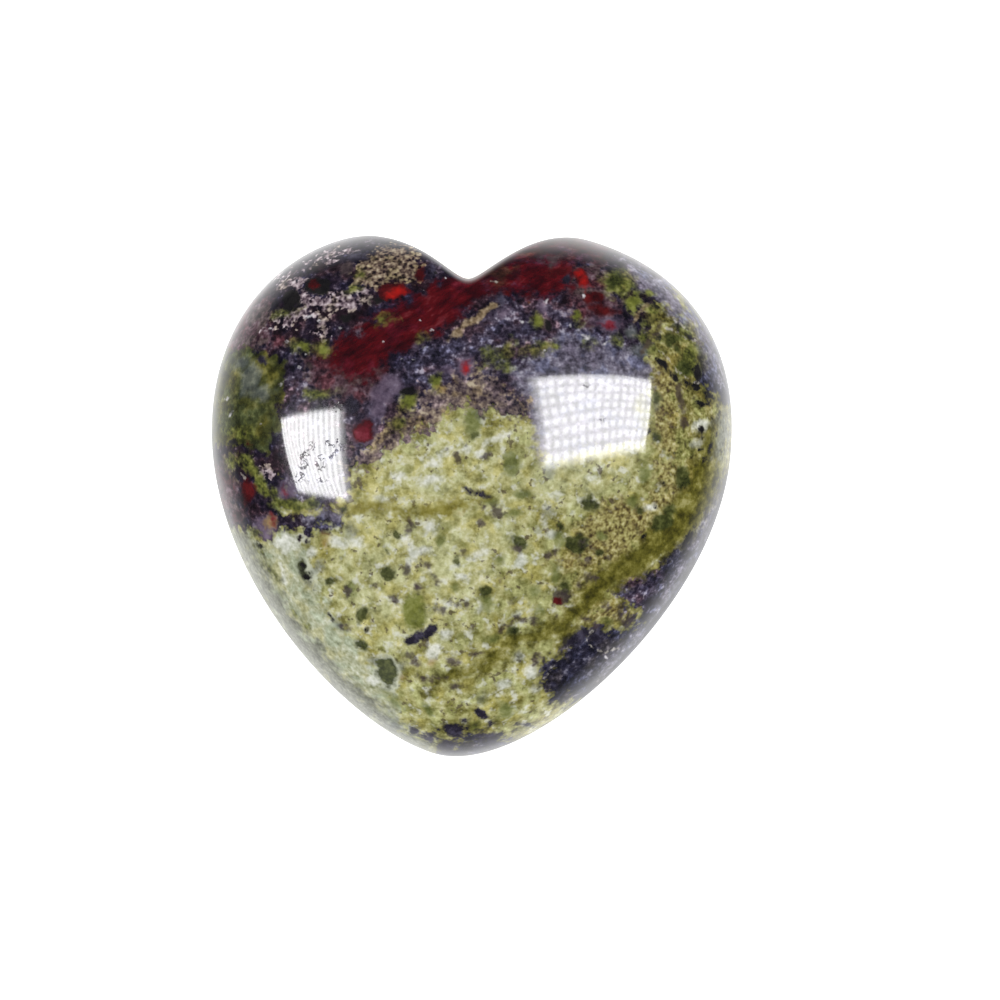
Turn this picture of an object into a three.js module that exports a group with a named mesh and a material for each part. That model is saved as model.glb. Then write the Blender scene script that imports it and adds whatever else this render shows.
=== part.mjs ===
// A puffed heart of polished dragon blood jasper, one solid stone lying on its back.
// Millimetres, +Z up. Seen from above, +X runs to the right and +Y from the point to the notch.
// The origin is on the surface the stone lies on, under the middle of its outline's box.
import * as THREE from "three";

// Driving dimensions
const THICKNESS = 20; // from the surface the stone lies on to its crown
const FLAT_DEPTH = 0.15; // how much of the rounded back the small resting flat takes away
const CROWN = new THREE.Vector2(-0.2, 1.6); // where the stone is thickest, near the outline's centroid
const PROFILE = 2.1; // power of the dome's section: 2 is an ellipse, more is fuller at the shoulder
const NOTCH_CUT = 4.8; // how far the notch is ground into the outline of the round body
const NOTCH_SPREAD = THREE.MathUtils.degToRad(12.5); // how wide the notch is, seen from the crown
const EDGE = 16; // power of the rounding where the ground rim cuts the dome: more is crisper

// The rim seen from above, anticlockwise from the notch. The curve leaves each node along its
// handle and arrives against it, so six nodes with one handle each draw the whole heart.
const RIM_NODES = [
  { name: "notch", at: [-0.2, 16.6], handle: [-1.2, 0] },
  { name: "left lobe", at: [-7.3, 20], handle: [-4, 0.5] },
  { name: "left side", at: [-20, 5], handle: [0, -11.2] },
  { name: "point", at: [-3, -19.8], handle: [7, -2.3] },
  { name: "right side", at: [19.9, 2.6], handle: [1.4, 11.8] },
  { name: "right lobe", at: [9, 19.7], handle: [-4.5, 1.2] },
];

// Facets
const FACETS_ROUND = 96;
const FRONT_BANDS = 15;
const BACK_BANDS = 14;

const RIGHT_ANGLE = Math.PI / 2;
const HALF_THICKNESS = (THICKNESS + FLAT_DEPTH) / 2;
const GIRDLE_HEIGHT = HALF_THICKNESS - FLAT_DEPTH;

// The closed curve through the rim's nodes.
function rimCurve() {
  const curve = new THREE.CurvePath();
  RIM_NODES.forEach((node, i) => {
    const next = RIM_NODES[(i + 1) % RIM_NODES.length];
    const start = new THREE.Vector2(...node.at);
    const end = new THREE.Vector2(...next.at);
    const leaving = new THREE.Vector2(...node.handle).add(start);
    const arriving = new THREE.Vector2(...next.handle).negate().add(end);
    curve.add(new THREE.CubicBezierCurve(start, leaving, arriving, end));
  });
  return curve;
}

// Evenly spaced points on the rim, without the last one, which repeats the first, and moved so
// that the middle of the outline's box is at x = y = 0. The crown moves with them.
function centredRim() {
  const points = rimCurve().getSpacedPoints(FACETS_ROUND).slice(0, FACETS_ROUND);
  const middle = new THREE.Box2().setFromPoints(points).getCenter(new THREE.Vector2());
  points.forEach((point) => point.sub(middle));
  return { points, crown: CROWN.clone().sub(middle) };
}

// How far the round body would reach in a direction from the crown, if no notch were ground in.
function bridgedReach(outward) {
  const offNotch = Math.atan2(outward.x, outward.y);
  return outward.length() + NOTCH_CUT * Math.exp(-((offNotch / NOTCH_SPREAD) ** 2));
}

// The flat's share of the way out to the bridged outline.
const FLAT_SHARE = (1 - (1 - FLAT_DEPTH / HALF_THICKNESS) ** PROFILE) ** (1 / PROFILE);

// A ring of points round the stone, on the front (side 1) or the back (side -1). Turn goes from 0
// in the middle of that side, at the crown or the edge of the flat, to 1 at the rim.
function ring(rim, turn, side) {
  return rim.points.map((point) => {
    const outward = point.clone().sub(rim.crown);
    const reach = outward.length();
    const bridged = bridgedReach(outward);
    const innermost = side > 0 ? 0 : (FLAT_SHARE * bridged) / reach;
    const start = Math.asin(innermost ** (PROFILE / 2));
    const share = Math.sin(start + (RIGHT_ANGLE - start) * turn) ** (2 / PROFILE);
    const dome = (1 - ((share * reach) / bridged) ** PROFILE) ** (1 / PROFILE);
    const edge = (1 - share ** EDGE) ** (1 / EDGE);
    const place = rim.crown.clone().addScaledVector(outward, share);
    return [place.x, place.y, GIRDLE_HEIGHT + side * HALF_THICKNESS * dome * edge];
  });
}

// All rings from the crown's first ring down over the girdle to the edge of the flat.
function rings(rim) {
  const made = [];
  for (let i = 1; i <= FRONT_BANDS; i++) made.push(ring(rim, i / FRONT_BANDS, 1));
  for (let i = 1; i <= BACK_BANDS; i++) made.push(ring(rim, 1 - i / BACK_BANDS, -1));
  return made;
}

// The closed surface: a fan at the crown, bands of quads between the rings, and the flat's fan.
function heartGeometry() {
  const rim = centredRim();
  const rows = rings(rim);
  const top = [rim.crown.x, rim.crown.y, THICKNESS];
  const bottom = [rim.crown.x, rim.crown.y, 0];
  rows.at(-1).forEach((point) => (point[2] = 0));
  const positions = [top, ...rows.flat(), bottom].flat();
  const at = (row, i) => 1 + row * FACETS_ROUND + (i % FACETS_ROUND);
  const lastRow = rows.length - 1;
  const bottomIndex = 1 + rows.length * FACETS_ROUND;
  const faces = [];
  for (let i = 0; i < FACETS_ROUND; i++) {
    faces.push(0, at(0, i), at(0, i + 1));
    for (let row = 0; row < lastRow; row++) {
      faces.push(at(row, i), at(row + 1, i), at(row + 1, i + 1));
      faces.push(at(row, i), at(row + 1, i + 1), at(row, i + 1));
    }
    faces.push(bottomIndex, at(lastRow, i + 1), at(lastRow, i));
  }
  const geometry = new THREE.BufferGeometry();
  geometry.setAttribute("position", new THREE.Float32BufferAttribute(positions, 3));
  geometry.setIndex(faces);
  geometry.computeVertexNormals();
  return geometry;
}

const polishedJasper = new THREE.MeshStandardMaterial({
  color: 0x7d7a45,
  roughness: 0.12,
  metalness: 0,
});

const heart = new THREE.Mesh(heartGeometry(), polishedJasper);
heart.name = "heart";

const stone = new THREE.Group();
stone.add(heart);

export default stone;
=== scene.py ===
"""A puffed heart of polished dragon blood jasper, lying on its back, seen from straight above.

The frame gives the stone's place and size. The fine surface follows the same outline and dome as
the solid it stands for. Each mineral is laid out on the stone as a depth: how many millimetres
inside that mineral's marks a point is, below 0 outside them. The finish turns the depths into
ragged, grained marks. Metres; +Z is up, +Y runs from the heart's point to its notch.
"""
import math
from typing import NamedTuple

import bpy
import numpy as np
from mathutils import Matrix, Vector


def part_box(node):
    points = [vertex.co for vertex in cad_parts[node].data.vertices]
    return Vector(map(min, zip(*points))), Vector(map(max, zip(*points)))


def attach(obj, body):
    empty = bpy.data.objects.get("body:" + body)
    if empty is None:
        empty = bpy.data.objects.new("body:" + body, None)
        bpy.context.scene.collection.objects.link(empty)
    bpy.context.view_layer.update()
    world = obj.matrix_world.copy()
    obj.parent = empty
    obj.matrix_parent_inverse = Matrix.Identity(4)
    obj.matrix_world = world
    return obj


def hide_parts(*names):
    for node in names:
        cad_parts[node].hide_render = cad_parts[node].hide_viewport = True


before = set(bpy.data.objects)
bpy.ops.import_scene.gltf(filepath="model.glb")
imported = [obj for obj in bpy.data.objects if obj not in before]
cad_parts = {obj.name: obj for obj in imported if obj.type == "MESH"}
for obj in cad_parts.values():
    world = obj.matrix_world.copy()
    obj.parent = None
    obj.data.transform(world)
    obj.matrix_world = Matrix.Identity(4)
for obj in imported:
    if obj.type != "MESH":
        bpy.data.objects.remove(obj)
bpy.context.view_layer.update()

MM = 0.001
LOW, HIGH = (np.array(corner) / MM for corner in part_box("heart"))

# The stone's shape, in millimetres
THICKNESS = HIGH[2] - LOW[2]
FLAT_DEPTH = 0.15  # how much of the rounded back the small resting flat takes away
CROWN = (-0.2, 1.6)  # where the stone is thickest
PROFILE = 2.1  # power of the dome's section: 2 is an ellipse, more is fuller at the shoulder
NOTCH_CUT = 4.8  # how far the notch is ground into the outline of the round body
NOTCH_SPREAD = math.radians(12.5)  # how wide the notch is, seen from the crown
EDGE = 16  # power of the rounding where the ground rim cuts the dome: more is crisper
HALF_THICKNESS = (THICKNESS + FLAT_DEPTH) / 2
GIRDLE_HEIGHT = HALF_THICKNESS - FLAT_DEPTH

# The rim seen from above, anticlockwise from the notch: a place, and the curve's handle there
RIM_NODES = {
    "notch": ((-0.2, 16.6), (-1.2, 0.0)),
    "left lobe": ((-7.3, 20.0), (-4.0, 0.5)),
    "left side": ((-20.0, 5.0), (0.0, -11.2)),
    "point": ((-3.0, -19.8), (7.0, -2.3)),
    "right side": ((19.9, 2.6), (1.4, 11.8)),
    "right lobe": ((9.0, 19.7), (-4.5, 1.2)),
}

# How finely the surface is made
POINTS_ROUND = 540
FRONT_ROWS = 112
BACK_ROWS = 66
CURVE_STEPS = 400

# The camera looks straight down. Places in the photograph are pixels, x to the right and y down.
PIXEL = 0.077  # millimetres in one pixel at the height of the rim
PHOTO_MIDDLE = 500.0
STONE_MIDDLE = (471.8, 496.3)  # the pixel over the middle of the stone's outline
CAMERA_DISTANCE = 500.0  # above the rim
CAMERA = np.array([
    (PHOTO_MIDDLE - STONE_MIDDLE[0]) * PIXEL,
    (STONE_MIDDLE[1] - PHOTO_MIDDLE) * PIXEL,
    GIRDLE_HEIGHT + CAMERA_DISTANCE,
])
SENSOR = 36.0

# The room as the polish mirrors it: a bright white sheet round the stone, dim beyond and above
FLOOR_HALF = 1.2  # metres from the floor's middle to its edges
FLOOR_GLOW = 0.9
SHEET_MIDDLE = (4.0, 5.0)  # where the light on the sheet is strongest, in millimetres
SHEET_FADE = (27.0, 300.0)  # how far out from there the sheet dims
SHEET_SHADE = (30.0, 20.0)  # and where it dims towards the stone, which shades it
SHEET_SHADE_DEPTH = 0.5
ROOM_LEVEL = 0.06
ROOM_TINT = (0.85, 0.9, 1.0, 1.0)

# Each softbox is placed by the corners of its reflection in the polish, from its top left round
SOFTBOX_DISTANCE = 600.0
SLOPE_ROWS = 2  # how far to each side of a mirroring point the slope of the surface is read
SLOPE_POINTS = 3
LEFT_REFLECTION = [(281, 416), (346, 404), (358, 504), (298, 493)]
LEFT_GLOW = 19.5
LEFT_GRILLE = (14, 0, 0.45)  # its columns, its rows, and the share of the glow its wires take
LEFT_HAZE = (0.04, 0.15, 0.08, 0.08)  # how far its left, right, top and bottom edges fade inwards
RIGHT_REFLECTION = [(521, 376), (651, 381), (643, 454), (534, 474)]
RIGHT_GLOW = 18.8
RIGHT_GRILLE = (15, 9, 0.44)
RIGHT_HAZE = (0.12, 0.02, 0.05, 0.08)

# Minerals of the front. A patch is a closed run of corners. A seam is a run of places, each with
# the seam's width there. A spot is a place, a length, a width and, where it lies askew, how far it
# is turned anticlockwise in degrees.
PATCHES = {
    "pale_mass": [
        [(326, 540), (340, 505), (362, 478), (395, 452), (430, 436), (462, 418), (486, 440), (512, 462),
         (530, 492), (520, 530), (498, 570), (470, 608), (440, 655), (395, 652), (350, 630),
         (328, 590)],
        [(524, 478), (560, 464), (600, 456), (628, 452), (632, 470), (600, 494), (560, 510),
         (524, 504)],
    ],
    "olive_mass": [
        [(636, 350), (662, 298), (704, 320), (760, 400), (760, 520), (704, 545), (652, 568), (644, 612),
         (606, 632), (572, 638), (560, 612), (556, 566), (578, 522), (612, 506), (650, 500), (664, 470),
         (658, 440), (652, 400)],
    ],
    "sage": [
        [(140, 528), (250, 527), (260, 540), (278, 533), (304, 534), (310, 556), (314, 582), (332, 612),
         (352, 640), (378, 672), (400, 708), (400, 790), (300, 790), (140, 640)],
    ],
    "peppered": [
        [(636, 352), (664, 362), (690, 385), (668, 400), (674, 440), (680, 490), (668, 520), (645, 540),
         (622, 566), (596, 560), (572, 568), (552, 562), (575, 545), (592, 505), (620, 498), (652, 515),
         (662, 470), (655, 420), (650, 380)],
        [(576, 612), (600, 598), (622, 600), (640, 611), (628, 624), (602, 624), (580, 632)],
    ],
    "moss": [
        [(130, 360), (212, 366), (226, 352), (242, 350), (262, 353), (276, 358), (284, 366), (284, 386),
         (280, 402), (280, 420), (272, 440), (264, 453), (246, 451), (236, 448), (222, 446),
         (130, 440)],
    ],
    "night": [
        [(100, 470), (240, 470), (284, 484), (300, 506), (330, 507), (347, 499), (349, 466), (368, 453),
         (386, 443), (401, 436), (421, 427), (440, 416), (452, 404), (463, 393), (475, 398), (483, 408),
         (496, 411), (508, 413), (528, 416), (538, 412), (548, 404), (575, 392), (600, 384), (622, 377),
         (634, 362), (650, 354), (656, 338), (652, 322), (662, 304), (672, 292), (674, 270), (668, 200),
         (500, 150), (200, 150), (100, 250)],
        [(130, 444), (222, 446), (246, 451), (266, 454), (282, 446), (286, 484), (296, 500), (284, 502),
         (276, 506), (278, 512), (286, 516), (300, 514), (318, 508), (336, 510), (342, 518), (330, 524),
         (316, 528), (306, 542), (300, 532), (288, 533), (280, 530), (262, 540), (252, 530), (234, 528),
         (130, 540)],
        [(640, 572), (626, 577), (617, 586), (616, 595), (628, 603), (640, 610), (652, 607), (664, 598),
         (668, 582), (656, 573)],
    ],
    "dusk": [
        [(541, 675), (543, 666), (553, 656), (563, 646), (567, 637), (580, 630), (592, 634), (600, 624),
         (616, 628), (628, 622), (640, 614), (634, 604), (630, 590), (640, 576), (652, 566), (663, 552),
         (674, 542), (688, 530), (698, 512), (708, 494), (717, 474), (760, 470), (760, 560), (720, 680),
         (620, 750), (592, 716), (571, 702), (552, 701), (546, 688)],
        [(436, 752), (442, 738), (456, 740), (470, 734), (484, 731), (500, 738), (520, 744), (540, 790),
         (430, 790)],
        [(668, 200), (674, 270), (676, 296), (694, 312), (702, 334), (700, 356), (697, 378), (708, 398),
         (724, 404), (760, 400), (760, 300), (720, 230)],
    ],
    "belt": [
        [(284, 352), (300, 365), (310, 382), (330, 398), (355, 400), (372, 385), (392, 366), (420, 350),
         (441, 338), (461, 325), (480, 305), (500, 295), (520, 300), (545, 298), (560, 296), (585, 318),
         (600, 330), (640, 340), (640, 376), (632, 404), (616, 428), (590, 442), (566, 446), (548, 436),
         (538, 416), (528, 416), (508, 413), (496, 411), (483, 408), (475, 398), (463, 393), (452, 404),
         (440, 416), (421, 427), (401, 436), (386, 443), (370, 455), (350, 466), (347, 499), (330, 506),
         (300, 504), (284, 482), (281, 450), (284, 400)],
        [(612, 592), (620, 577), (640, 570), (656, 562), (665, 574), (655, 592), (643, 608),
         (624, 608)],
    ],
    "maroon": [
        [(300, 357), (330, 350), (360, 345), (384, 352), (388, 372), (377, 398), (355, 403), (330, 398),
         (308, 386)],
        [(180, 352), (228, 318), (250, 296), (268, 300), (276, 326), (290, 344), (262, 350),
         (236, 356)],
        [(560, 268), (600, 262), (618, 300), (616, 318), (590, 332), (570, 316), (566, 296)],
    ],
    "slate": [
        [(508, 372), (540, 352), (560, 330), (590, 336), (618, 346), (640, 350), (654, 372), (648, 410),
         (642, 440), (620, 446), (590, 452), (562, 459), (548, 462), (538, 450), (532, 404)],
        [(624, 260), (645, 268), (666, 286), (684, 308), (692, 330), (682, 334), (666, 312), (650, 296),
         (632, 286)],
        [(304, 510), (318, 507), (336, 511), (341, 515), (341, 523), (326, 518), (308, 525)],
    ],
    "blood": [
        [(318, 354), (345, 338), (375, 318), (400, 302), (430, 287), (452, 277), (471, 262), (492, 250),
         (508, 240), (528, 240), (552, 250), (574, 264), (580, 276), (568, 288), (548, 298), (533, 291),
         (510, 295), (492, 291), (476, 299), (461, 319), (441, 330), (420, 342), (400, 352), (384, 366),
         (368, 380), (352, 384), (335, 372)],
    ],
    "lobe_blood": [
        [(478, 270), (500, 225), (560, 205), (610, 215), (618, 240), (606, 258), (588, 264), (560, 262),
         (520, 262), (500, 290)],
    ],
    "brown": [
        [(348, 467), (356, 459), (366, 450), (380, 437), (400, 417), (418, 398), (436, 386), (455, 376),
         (475, 370), (494, 376), (502, 390), (528, 404), (512, 414), (492, 410), (472, 402), (456, 410),
         (440, 421), (420, 433), (400, 443), (380, 458), (362, 467)],
    ],
    "beige": [
        [(352, 286), (356, 268), (368, 253), (385, 246), (404, 247), (416, 256), (421, 270), (412, 280),
         (400, 283), (388, 284), (380, 290), (366, 288)],
    ],
}

SEAMS = {
    "stain": [
        [(352, 510, 6), (370, 506, 10), (386, 507, 12), (400, 513, 10), (415, 515, 12), (434, 512, 13),
         (448, 509, 11), (462, 504, 10), (476, 499, 8), (488, 495, 5)],
    ],
    "moss_line": [
        [(428, 690, 6), (440, 681, 10), (452, 676, 12), (466, 671, 12), (478, 667, 15), (490, 660, 17),
         (504, 651, 19), (520, 643, 18), (536, 637, 18), (551, 630, 20), (566, 622, 20), (578, 612, 20),
         (590, 598, 22), (602, 584, 26), (620, 573, 26), (638, 562, 26), (652, 550, 28), (665, 536, 32),
         (682, 518, 36), (696, 498, 36), (705, 476, 32), (706, 452, 24), (708, 432, 12)],
        [(640, 400, 8), (646, 420, 6)],
    ],
    # These seams run just inside the right rim: partly the stone's violet-grey, partly painted
    # reflection of the haze the polish shows at the edge
    "slate": [
        [(716, 498, 4), (706, 522, 6), (694, 548, 4)],
        [(684, 566, 4), (668, 590, 5), (655, 608, 4)],
        [(640, 630, 4), (622, 652, 5), (604, 670, 4)],
        [(688, 312, 8), (701, 334, 10), (711, 356, 11), (718, 378, 9)],
    ],
    "maroon": [
        [(222, 466, 12), (227, 490, 14), (236, 516, 12)],
    ],
    # Painted shade: a darker grey-green band just inside the rim, at the lower left and on the right
    # side
    "dim_sage": [
        [(228, 520, 12), (243, 543, 16), (254, 567, 16), (267, 591, 17), (284, 615, 17), (301, 640, 17),
         (321, 664, 17), (346, 688, 17), (369, 709, 16), (397, 729, 14), (420, 744, 18),
         (442, 752, 16)],
        [(724, 410, 12), (723, 436, 14), (719, 462, 13)],
    ],
    "peppered": [
        [(666, 395, 10), (664, 420, 12), (666, 445, 10), (662, 470, 8), (660, 500, 12)],
    ],
    "lace": [
        [(283, 283, 8), (294, 286, 10), (304, 284, 8)],
        [(302, 298, 8), (316, 304, 15), (332, 303, 19), (350, 301, 15), (366, 299, 9)],
        [(318, 314, 10), (325, 322, 9), (324, 331, 6)],
        [(273, 328, 6), (283, 322, 8), (296, 316, 8), (308, 312, 8)],
        [(310, 268, 4), (322, 260, 5), (336, 254, 5), (350, 250, 3)],
        [(262, 467, 8), (272, 472, 8)],
    ],
    "tan": [
        [(448, 340, 4), (456, 335, 6), (463, 325, 6), (477, 317, 7), (488, 309, 8), (497, 305, 6)],
        [(638, 318, 3), (641, 311, 3), (648, 308, 3)],
    ],
    "hairline": [
        [(592, 632, 0.6), (586, 640, 0.6), (588, 645, 0.8), (597, 651, 0.8), (607, 653, 0.8),
         (616, 649, 0.8), (624, 650, 0.6)],
        [(566, 648, 0.8), (558, 660, 0.8), (551, 669, 0.8), (546, 678, 0.6)],
        [(658, 351, 1.4), (668, 361, 1.6), (678, 371, 1.6), (691, 378, 1.6), (702, 384, 1.4)],
        [(664, 329, 1.8), (675, 333, 1.6), (686, 339, 1.4)],
        [(692, 343, 1.6), (700, 341, 1.4)],
        [(672, 322, 1), (680, 324, 1.2), (688, 330, 1)],
        [(492, 279, 1.4), (497, 282, 1.4)],
        [(240, 474, 2), (246, 479, 2)],
    ],
    "black": [
        [(648, 357, 4), (660, 364, 5.5), (669, 373, 6), (678, 379, 5), (692, 383, 5), (704, 390, 6),
         (712, 399, 7)],
        [(648, 300, 3), (654, 305, 4), (660, 310, 3)],
        [(668, 329, 3), (676, 332, 3.4)],
        [(684, 335, 3), (691, 339, 3)],
        [(236, 448, 3), (242, 454, 3)],
        [(256, 539, 3), (261, 548, 3)],
        [(326, 612, 3), (334, 620, 3)],
    ],
    "umber": [
        [(680, 384, 6), (683, 400, 5.5), (683, 416, 5.5), (684, 428, 5)],
        [(642, 352, 3), (650, 342, 4), (654, 330, 5), (660, 322, 4)],
        [(694, 340, 4), (702, 343, 3)],
        [(500, 630, 5), (508, 625, 5), (517, 618, 5)],
        [(455, 455, 3), (460, 462, 3)],
        [(414, 581, 2), (418, 587, 3)],
    ],
    "violet": [
        [(533, 620, 5), (517, 618, 5)],
    ],
    "dusk_spot": [
        [(408, 639, 8), (416, 637, 10), (424, 634, 11), (430, 630, 8), (435, 628, 6)],
        [(465, 485, 4), (471, 489, 6.5), (481, 493, 5.5), (490, 496, 3)],
    ],
    "white": [
        [(481, 446, 3), (494, 440, 4), (508, 434, 3)],
        [(539, 517, 3), (545, 528, 4)],
        [(283, 565, 3), (285, 583, 4)],
    ],
    "streak": [
        [(243, 461, 7), (250, 469, 8), (258, 478, 9), (266, 487, 9), (272, 494, 7)],
        [(275, 500, 9), (286, 506, 13), (300, 505, 12), (314, 502, 8)],
        [(258, 545, 4), (266, 559, 5), (272, 572, 4), (277, 581, 4)],
        [(292, 606, 3), (302, 618, 5), (309, 628, 3)],
    ],
}

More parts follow.
